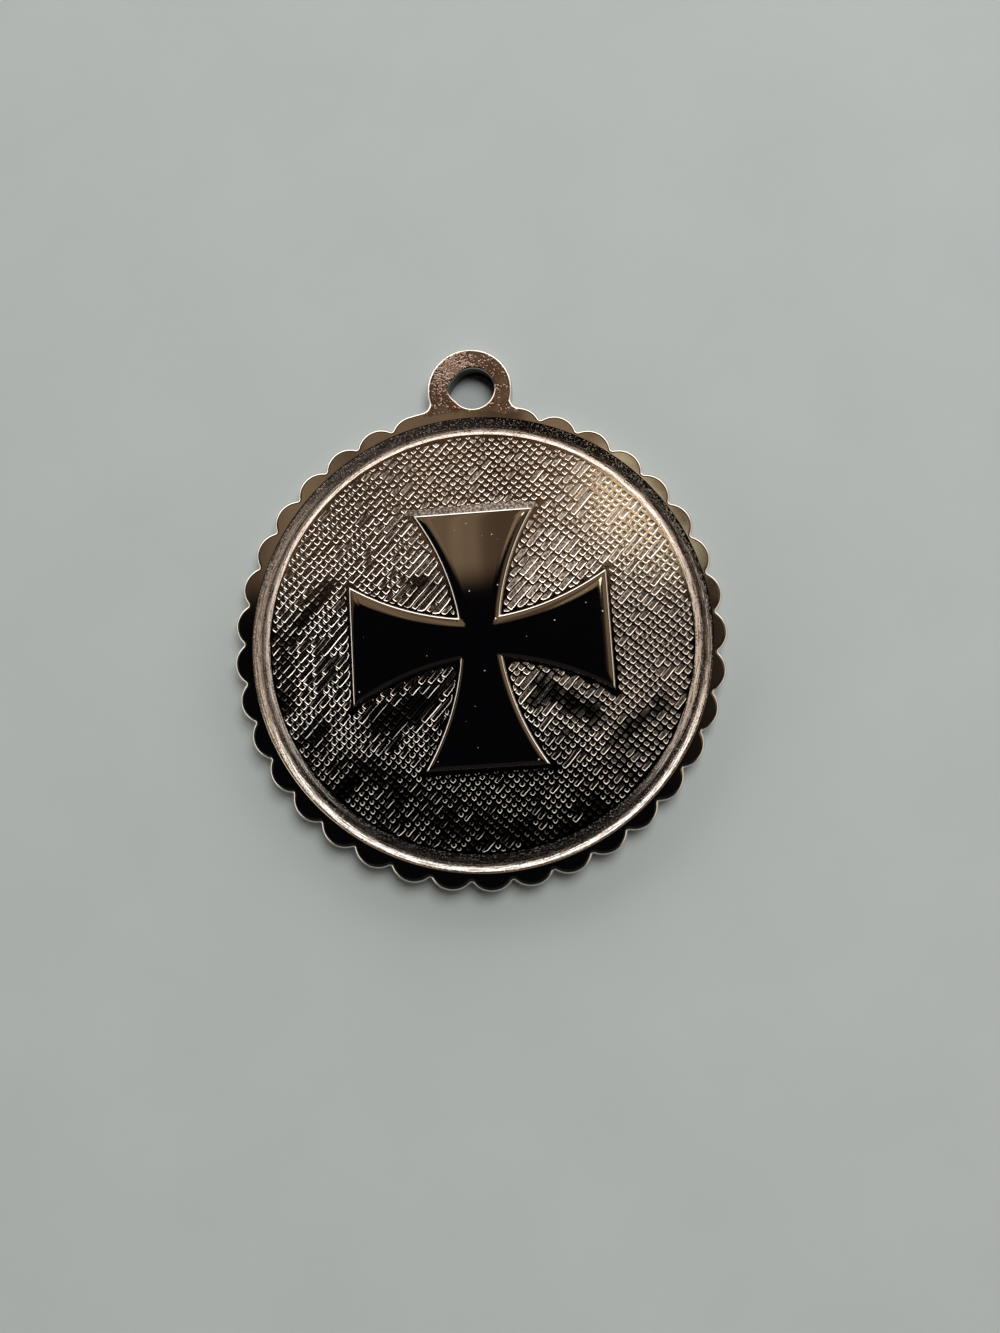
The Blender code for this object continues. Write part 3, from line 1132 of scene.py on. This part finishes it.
def plate_and_lug():
    tree, shader, place = new_metal("plate_and_lug", PLATE)
    z = add(tree, "SeparateXYZ", None, Vector=place).outputs[2]
    grain = speckle(tree, place, 6.5, 4.0)
    coarse = speckle(tree, place, 1.1, 3.0)
    cloudy = speckle(tree, place, 0.35, 4.0)
    worn, grains = lug_wear(tree, place, grain, coarse)

    worn_colour = blend(tree, band(tree, coarse, 0.35, 0.65), WORN_COLOUR, WORN_PATCH_COLOUR)
    worn_colour = blend(tree, grains, worn_colour, WORN_GRAIN_COLOUR)
    colour = blend(tree, worn, PLATE_COLOUR, worn_colour)
    # Painted shade: the wall of the hole, below the face, is painted near black.
    from_hole = add(tree, "VectorMath", {"operation": "DISTANCE"}, i0=place,
                    i1=(*HOLE_CENTRE, THICKNESS / 2)).outputs["Value"]
    wall = maths(tree, "MULTIPLY", band(tree, from_hole, 2.3, 2.15), band(tree, z, 1.5, 1.4))
    colour = blend(tree, wall, colour, HOLE_WALL_SHADE_COLOUR)
    tree.links.new(colour, shader.inputs["Base Color"])

    rough = maths(tree, "ADD", band(tree, cloudy, 0.35, 0.7, 0.05, 0.10),
                  band(tree, z, 1.597, 1.54, 0.0, 0.16))
    rough = maths(tree, "ADD", rough, maths(tree, "MULTIPLY", worn, 0.12))
    rough = maths(tree, "ADD", rough, maths(tree, "MULTIPLY", grains, 0.16))
    tree.links.new(rough, shader.inputs["Roughness"])
    dents = maths(tree, "MULTIPLY", maths(tree, "ADD", grain, coarse), worn)
    raised = maths(tree, "ADD", maths(tree, "MULTIPLY", dents, 0.5), grains)
    roughen(tree, shader, raised, 0.013)


plate_and_lug()

# %% [markdown]
# ## Satin groove
#
# The groove was brushed on a turning wheel, so its streaks run round the disc. A plain
# noise would streak straight across. It is laid in polar coordinates instead: the
# distance from the middle changes fast and the angle slowly. The outer slope is dark, and
# the inner one is brushed and painted pale, a painted sheen of the window light, most of
# all at the top and the left. Where it is painted pale the metal is made only half
# metallic, so that it scatters light like paint.

# %% Streaks round the groove
INNER_SLOPE = (17.02, 16.95)
STREAKS_ACROSS = 11.0
STREAKS_ROUND = 10.0


def groove_streaks(tree, place):
    """Gives x and y from the middle of the die, the way out, the streaks and the grain."""
    moved = add(tree, "VectorMath", {"operation": "SUBTRACT"}, i0=place,
                i1=(*STRIKE_CENTRE, 0)).outputs[0]
    x, y, _ = add(tree, "SeparateXYZ", None, Vector=moved).outputs
    out = flat_length(tree, x, y)
    turned = maths(tree, "MULTIPLY", maths(tree, "ARCTAN2", y, x), STREAKS_ROUND)
    laid = add(tree, "CombineXYZ", None, X=maths(tree, "MULTIPLY", out, STREAKS_ACROSS),
               Y=turned).outputs[0]
    streaks = add(tree, "TexNoise", None, Vector=laid, Scale=1.0, Detail=3.0).outputs["Fac"]
    grain = speckle(tree, place, 7.0, 4.0)
    both = maths(tree, "ADD", maths(tree, "MULTIPLY", streaks, 0.6),
                 maths(tree, "MULTIPLY", grain, 0.4))
    return x, y, out, both, grain


print("the inner slope starts", INNER_SLOPE[0], "mm from the middle")

# %% Groove finish
COOL_DARK, COOL_LIGHT = (0.20, 0.19, 0.18), (0.62, 0.60, 0.58)
WARM_DARK, WARM_LIGHT = (0.19, 0.145, 0.115), (0.66, 0.56, 0.48)
COOL_BRUSHED_SHEEN, WARM_BRUSHED_SHEEN = (0.86, 0.84, 0.82), (0.92, 0.76, 0.66)
STAIN_COLOUR = (0.34, 0.28, 0.24)


def satin_groove():
    tree, shader, place = new_metal("satin_groove", GROOVE)
    x, y, out, both, grain = groove_streaks(tree, place)
    light = band(tree, both, 0.38, 0.58)
    warmth = band(tree, y, -14.0, -4.0, 0.0, 0.85)
    colour = blend(tree, warmth, blend(tree, light, COOL_DARK, COOL_LIGHT),
                   blend(tree, light, WARM_DARK, WARM_LIGHT))
    stains = band(tree, speckle(tree, place, 0.9, 3.0), 0.55, 0.8, 0.0, 0.45)
    colour = blend(tree, stains, colour, STAIN_COLOUR)

    # Painted sheen: the brushed inner slope is painted pale and made half metallic, but not near
    # the bottom.
    inner = band(tree, out, *INNER_SLOPE)
    brushed_sheen = maths(tree, "MULTIPLY", inner, band(tree, both, 0.40, 0.56))
    brushed_sheen = maths(tree, "MULTIPLY", brushed_sheen, band(tree, y, -13.0, -5.0))
    pale_sheen = blend(tree, warmth, COOL_BRUSHED_SHEEN, WARM_BRUSHED_SHEEN)
    colour = blend(tree, maths(tree, "MULTIPLY", brushed_sheen, 0.8), colour, pale_sheen)
    tree.links.new(colour, shader.inputs["Base Color"])

    unbrushed = maths(tree, "MAXIMUM", band(tree, x, -9.0, 5.0, 0.82, 1.0),
                      band(tree, y, -4.0, -11.0, 0.82, 1.0))
    tree.links.new(band(tree, brushed_sheen, 0.0, 1.0, unbrushed, 0.5), shader.inputs["Metallic"])
    tree.links.new(band(tree, both, 0.3, 0.7, 0.21, 0.12), shader.inputs["Roughness"])
    burrs = maths(tree, "MULTIPLY", band(tree, grain, 0.57, 0.66), 1.1)
    roughen(tree, shader, maths(tree, "ADD", both, burrs), 0.018)


satin_groove()

# %% [markdown]
# ## Frost, painted sheen and darkening of the hatch
#
# Ridges, walls and floors share one plating and age alike. Its frost, which is partly a
# painted sheen, is thicker towards the upper right, where the metal is painted creamy,
# and thin at the lower left, where it looks black. It is painted darker towards the
# bottom, as painted shade, and darker on the right. Three separate materials would drift
# apart, so one function makes all three from a few values.

# %% Signals of the hatch
FROST_AND_SHEEN_WAY = (0.8, 0.6, 0.0)
GLOW_PLACE = (10.5, 11.0, FIELD_HEIGHT)
DARKEST_PLACE = (13.5, -3.5, FIELD_HEIGHT)


def frost_and_sheen_share(tree, place, tarnish):
    """Frost and painted sheen: more to the upper right, in patches, less where tarnished."""
    toward = add(tree, "VectorMath", {"operation": "DOT_PRODUCT"}, i0=place,
                 i1=FROST_AND_SHEEN_WAY).outputs["Value"]
    patches = maths(tree, "MULTIPLY", speckle(tree, place, 0.45, 3.0), 6.0)
    frost_and_sheen = band(tree, maths(tree, "ADD", toward, patches), -1.0, 11.0, 0.04, 1.0)
    return maths(tree, "MULTIPLY", frost_and_sheen, band(tree, tarnish, 0.8, 0.1, 0.15, 1.0))


def fleck_share(tree, place, spots):
    """Dark flecks in the frost, fewer round the painted glow at the upper right."""
    flecks = band(tree, speckle(tree, place, 5.0, 2.0), 0.60, 0.45)
    from_glow = add(tree, "VectorMath", {"operation": "DISTANCE"}, i0=place,
                    i1=GLOW_PLACE).outputs["Value"]
    return maths(tree, "MULTIPLY", flecks, band(tree, from_glow, 1.0, 6.0, 0.3 * spots, spots))


def darkening_share(tree, place, darkening):
    """How much darker the metal is painted: most at the right border, and towards the bottom as
    painted shade.
    """
    from_right = add(tree, "VectorMath", {"operation": "DISTANCE"}, i0=place,
                     i1=DARKEST_PLACE).outputs["Value"]
    y = add(tree, "SeparateXYZ", None, Vector=place).outputs[1]
    return maths(tree, "MAXIMUM", band(tree, from_right, 11.0, 4.0, 0.0, darkening),
                 band(tree, y, -1.0, -10.0, 0.0, darkening))


# Round the glow place the hatch is painted light, and round the darkest place it is painted dark.
print("the hatch glows round", GLOW_PLACE[:2], "and is dull round", DARKEST_PLACE[:2])

# %% [markdown]
# ## Walls, ridges and floors
#
# The three differ in how they were left. The walls of a pit are clean cut and bright,
# which gives the hooks of light. The ridges were polished, but over a brown tarnish, and
# mirror the dark room. The floors were never touched: they are frosted, full of dark
# flecks, and only half metallic, so that they stay pale from every side.

# %% Hatched metal
FLECK_DARKNESS = 0.22
DARKENED_COLOUR = (0.06, 0.055, 0.05)
TARNISH_COLOUR = (0.05, 0.045, 0.045)


def hatched(name, region, clean, warm, rough, frost_rough, bump, least_metal=1.0, spots=0.4,
            darkening=0.65):
    """One metal of the hatch. rough is its lowest and highest roughness without frost."""
    tree, shader, place = new_metal(name, region)
    tarnish = add(tree, "Attribute", {"attribute_name": "tarnish"}).outputs["Fac"]
    grain = speckle(tree, place, 4.5, 4.0)
    frost_and_sheen = frost_and_sheen_share(tree, place, tarnish)

    # The frost's creamy colour is partly a painted sheen, thickest towards the upper right.
    colour = blend(tree, frost_and_sheen, clean, warm)
    colour = blend(tree, fleck_share(tree, place, spots), colour,
                   tuple(FLECK_DARKNESS * c for c in warm))
    # Painted shade: near black towards the bottom, and darker round the right border.
    colour = blend(tree, darkening_share(tree, place, darkening), colour, DARKENED_COLOUR)
    colour = blend(tree, maths(tree, "MULTIPLY", tarnish, 0.85), colour, TARNISH_COLOUR)
    tree.links.new(colour, shader.inputs["Base Color"])

    roughness = maths(tree, "ADD", band(tree, grain, 0.3, 0.7, rough[1], rough[0]),
                      maths(tree, "MULTIPLY", frost_and_sheen, frost_rough))
    tree.links.new(roughness, shader.inputs["Roughness"])
    if least_metal < 1.0:
        metal = band(tree, frost_and_sheen, 0.0, 1.0, 1.0, least_metal)
        tree.links.new(metal, shader.inputs["Metallic"])
    roughen(tree, shader, grain, bump, frost_and_sheen)


hatched("pit_walls", WALL, clean=(0.74, 0.70, 0.67), warm=(0.95, 0.84, 0.74),
        rough=(0.07, 0.12), frost_rough=0.08, bump=0.02, spots=0.2, darkening=0.52)
hatched("hatch_ridges", RIDGE, clean=(0.40, 0.34, 0.30), warm=(0.38, 0.29, 0.24),
        rough=(0.05, 0.10), frost_rough=0.02, bump=0.003)
hatched("hatch_pits", PIT, clean=(0.70, 0.68, 0.67), warm=(0.97, 0.84, 0.74),
        rough=(0.10, 0.18), frost_rough=0.14, bump=0.10, least_metal=0.50, spots=0.9,
        darkening=0.8)

# %% [markdown]
# ## Polished cross
#
# The cross is the brightest polish on the piece. With almost no roughness, what the eye
# sees is the room: black under the hood, brown where the ceiling shows. Handling leaves
# very fine scratches, and specks of dust lie on it. The dust could be little spheres, but
# flat spots from a cell pattern do at this size. They are set to be no metal, so that
# they show against the black.

# %% Cross finish
DUST_COLOUR = (0.75, 0.72, 0.68)
DUST_SIZE = 0.095


def polished_cross():
    tree, shader, place = new_metal("polished_cross", CROSS)
    cloudy = speckle(tree, place, 0.35, 4.0)
    scratches = speckle(tree, place, 3.0, 2.0, (6.0, 0.35, 1.0), 0.12)
    tree.links.new(band(tree, cloudy, 0.35, 0.7, 0.02, 0.045), shader.inputs["Roughness"])
    colour = blend(tree, cloudy, PLATE_COLOUR, tuple(0.92 * c for c in PLATE_COLOUR))

    dots = add(tree, "TexVoronoi", {"feature": "F1"}, Vector=place, Scale=1.5, Randomness=1.0)
    size = maths(tree, "MULTIPLY", band(tree, speckle(tree, place, 0.8, 1.0), 0.42, 0.66),
                 DUST_SIZE)
    dust = maths(tree, "LESS_THAN", dots.outputs["Distance"], size)
    tree.links.new(blend(tree, dust, colour, DUST_COLOUR), shader.inputs["Base Color"])
    tree.links.new(maths(tree, "SUBTRACT", 1.0, dust), shader.inputs["Metallic"])
    roughen(tree, shader, scratches, 0.0002)


polished_cross()

# %% [markdown]
# ## Plain back
#
# The back lies on the floor and was never polished. It keeps the dull, slightly grainy
# plating of a cast face. A cloudy colour and a fine grain are all that it needs.

# %% Back
BACK_LIGHT, BACK_DARK = (0.62, 0.59, 0.55), (0.50, 0.46, 0.42)


def plain_back():
    tree, shader, place = new_metal("plain_back", BACK)
    cloudy = speckle(tree, place, 0.4, 4.0)
    grain = speckle(tree, place, 5.0, 3.0)
    tree.links.new(blend(tree, cloudy, BACK_LIGHT, BACK_DARK), shader.inputs["Base Color"])
    tree.links.new(band(tree, grain, 0.3, 0.7, 0.42, 0.32), shader.inputs["Roughness"])
    roughen(tree, shader, grain, 0.02)


plain_back()

# %% [markdown]
# ## The room in the reflections
#
# Polished metal has no colour of its own: it shows the room. A photograph of a room is
# the usual way, but here the world is a shader that answers, for each direction, how
# bright the room is there. A direction is read as its slope away from straight up, which
# is the measure in which a flat face lays the ceiling out on its own surface. The ceiling
# is a dim warm brown with darker beams, and fades into a dark side.

# %% Directions and ceiling
DARK_SIDE = (0.013, 0.011, 0.011)
BEAM_COLOUR, CEILING_COLOUR = (0.09, 0.058, 0.036), (0.285, 0.203, 0.128)

world = bpy.data.worlds.new("room")
bpy.context.scene.world = world
world.use_nodes = True
room = world.node_tree
direction = add(room, "TexCoord").outputs["Generated"]
east, north, up = add(room, "SeparateXYZ", None, Vector=direction).outputs
height = maths(room, "MAXIMUM", up, 0.02)
slope_x = maths(room, "DIVIDE", east, height)
slope_y = maths(room, "DIVIDE", north, height)

lit = maths(room, "MULTIPLY", band(room, slope_y, -0.10, 0.30),
            band(room, slope_x, -0.75, 0.0, 0.35, 1.0))
lit = maths(room, "MULTIPLY", lit, band(room, up, 0.60, 0.80))
beams = add(room, "TexNoise", {"noise_dimensions": "1D"}, W=slope_x, Scale=14.0,
            Detail=2.0).outputs["Fac"]
ceiling = blend(room, band(room, beams, 0.36, 0.62), BEAM_COLOUR, CEILING_COLOUR)
light = blend(room, lit, DARK_SIDE, ceiling)
print("nodes for the ceiling:", len(room.nodes))

# %% [markdown]
# ## Windows
#
# Large soft windows stand low on the far side and to the right and left. Area lamps could
# stand for them, but they would also light the floor. As part of the world they show in
# every rounded edge of the metal as a bright line, and their soft borders give that line
# its soft ends.

# %% Windows
RIGHT_LIGHT = (1.15, 1.0, 0.85)
LEFT_LIGHT = (1.9, 1.8, 1.65)
FAR_LIGHT = (3.2, 3.0, 2.8)

sideways = maths(room, "MAXIMUM", flat_length(room, east, north), 0.001)
to_right = maths(room, "DIVIDE", east, sideways)
to_left = maths(room, "MULTIPLY", to_right, -1.0)
to_far = maths(room, "DIVIDE", north, sideways)
PANES = [  # colour, which way, its soft side border, its soft upper border
    (RIGHT_LIGHT, to_right, (0.66, 0.90), (0.64, 0.28)),
    (LEFT_LIGHT, to_left, (0.66, 0.90), (0.31, 0.28)),
    (FAR_LIGHT, to_far, (0.30, 0.75), (0.50, 0.36)),
]
for pane_colour, toward, across, upright in PANES:
    pane = maths(room, "MULTIPLY", band(room, up, *upright), band(room, toward, *across))
    light = blend(room, pane, light, pane_colour)
print("windows:", len(PANES))

# %% [markdown]
# ## Hood and small lamp
#
# The cross looks black because something dark hangs over it. A real black card would cast
# a shadow and show in the other views, so the hood is a dark patch of the world straight
# above. It is a rectangle in slopes, whose borders fall on the arms where the black
# begins. One small warm lamp lies at a slant just outside it, and glints on the metal.

# %% Hood and small lamp
HOOD_COLOUR = (0.002, 0.002, 0.003)
LAMP_LIGHT = (2.2, 2.05, 1.4)
LAMP_SLOPES = (0.111, 0.298)
UNDER_COLOUR = (0.3, 0.3, 0.3)

hood_x = maths(room, "MULTIPLY", band(room, slope_x, -0.95, -0.70),
               band(room, slope_x, 0.34, 0.10))
hood_y = maths(room, "MULTIPLY", band(room, slope_y, -0.32, -0.16),
               band(room, slope_y, 0.268, 0.232))
light = blend(room, maths(room, "MULTIPLY", hood_x, hood_y), light, HOOD_COLOUR)

lamp_x = maths(room, "SUBTRACT", slope_x, LAMP_SLOPES[0])
lamp_y = maths(room, "SUBTRACT", slope_y, LAMP_SLOPES[1])
along = maths(room, "SUBTRACT", maths(room, "MULTIPLY", lamp_x, 6.2),
              maths(room, "MULTIPLY", lamp_y, 10.2))
across = maths(room, "ADD", maths(room, "MULTIPLY", lamp_x, 25.8),
               maths(room, "MULTIPLY", lamp_y, 15.8))
glint = maths(room, "MULTIPLY", band(room, flat_squares(room, along, across), 1.15, 0.45),
              maths(room, "GREATER_THAN", up, 0.3))
light = blend(room, glint, light, LAMP_LIGHT)
light = blend(room, band(room, up, -0.01, 0.01), UNDER_COLOUR, light)
room.links.new(light, room.nodes["Background"].inputs["Color"])
room.nodes["Background"].inputs["Strength"].default_value = 1.0
print("nodes for the whole room:", len(room.nodes))

# %% [markdown]
# ## Floor
#
# A plain pale floor carries the piece and is no part of it. It lies a fiftieth of a
# millimetre under the back, because two faces at one height would flicker. A faint mottle
# keeps it from looking like paper.

# %% Floor
FLOOR_HALF = 0.6
FLOOR_DROP = 0.02 * MM


def lay_floor():
    bm = bmesh.new()
    bmesh.ops.create_grid(bm, x_segments=1, y_segments=1, size=FLOOR_HALF)
    bmesh.ops.translate(bm, verts=bm.verts[:], vec=(0, 0, -FLOOR_DROP))
    floor_mesh = bpy.data.meshes.new("floor")
    bm.to_mesh(floor_mesh)
    bm.free()
    floor = bpy.data.objects.new("floor", floor_mesh)
    bpy.context.scene.collection.objects.link(floor)
    return floor


def paint_floor(floor):
    paint = bpy.data.materials.new("floor_paint")
    paint.use_nodes = True
    tree = paint.node_tree
    place = add(tree, "TexCoord").outputs["Object"]
    mottle = add(tree, "TexNoise", None, Vector=place, Scale=90.0, Detail=3.0).outputs["Fac"]
    colour = blend(tree, mottle, (0.55, 0.61, 0.61), (0.61, 0.67, 0.67))
    shader = tree.nodes["Principled BSDF"]
    tree.links.new(colour, shader.inputs["Base Color"])
    shader.inputs["Roughness"].default_value = 0.8
    floor.data.materials.append(paint)


floor = lay_floor()
paint_floor(floor)
print("floor:", 2 * FLOOR_HALF, "m wide")

# %% [markdown]
# ## Studio light
#
# One large soft lamp lights the floor and throws the soft shadow round the piece. It is
# kept out of reflections, because a bright panel over a mirror would wash out the cross.
# The standard view shows bright and dark without a film's soft shoulder, as the small
# camera did.

# %% Studio lamp
STUDIO_LAMP_PLACE = (0.16, 0.22, 0.45)

lamp_data = bpy.data.lights.new("studio_lamp", "AREA")
lamp_data.size = 0.32
lamp_data.energy = 1.5
lamp = bpy.data.objects.new("studio_lamp", lamp_data)
bpy.context.scene.collection.objects.link(lamp)
lamp.location = STUDIO_LAMP_PLACE
lamp.rotation_euler = (-lamp.location).to_track_quat("-Z", "Y").to_euler()
lamp.visible_glossy = False
bpy.context.scene.view_settings.view_transform = "Standard"
print("studio lamp:", lamp_data.size, "m wide,", round(lamp.location.length, 2), "m away")

# %% [markdown]
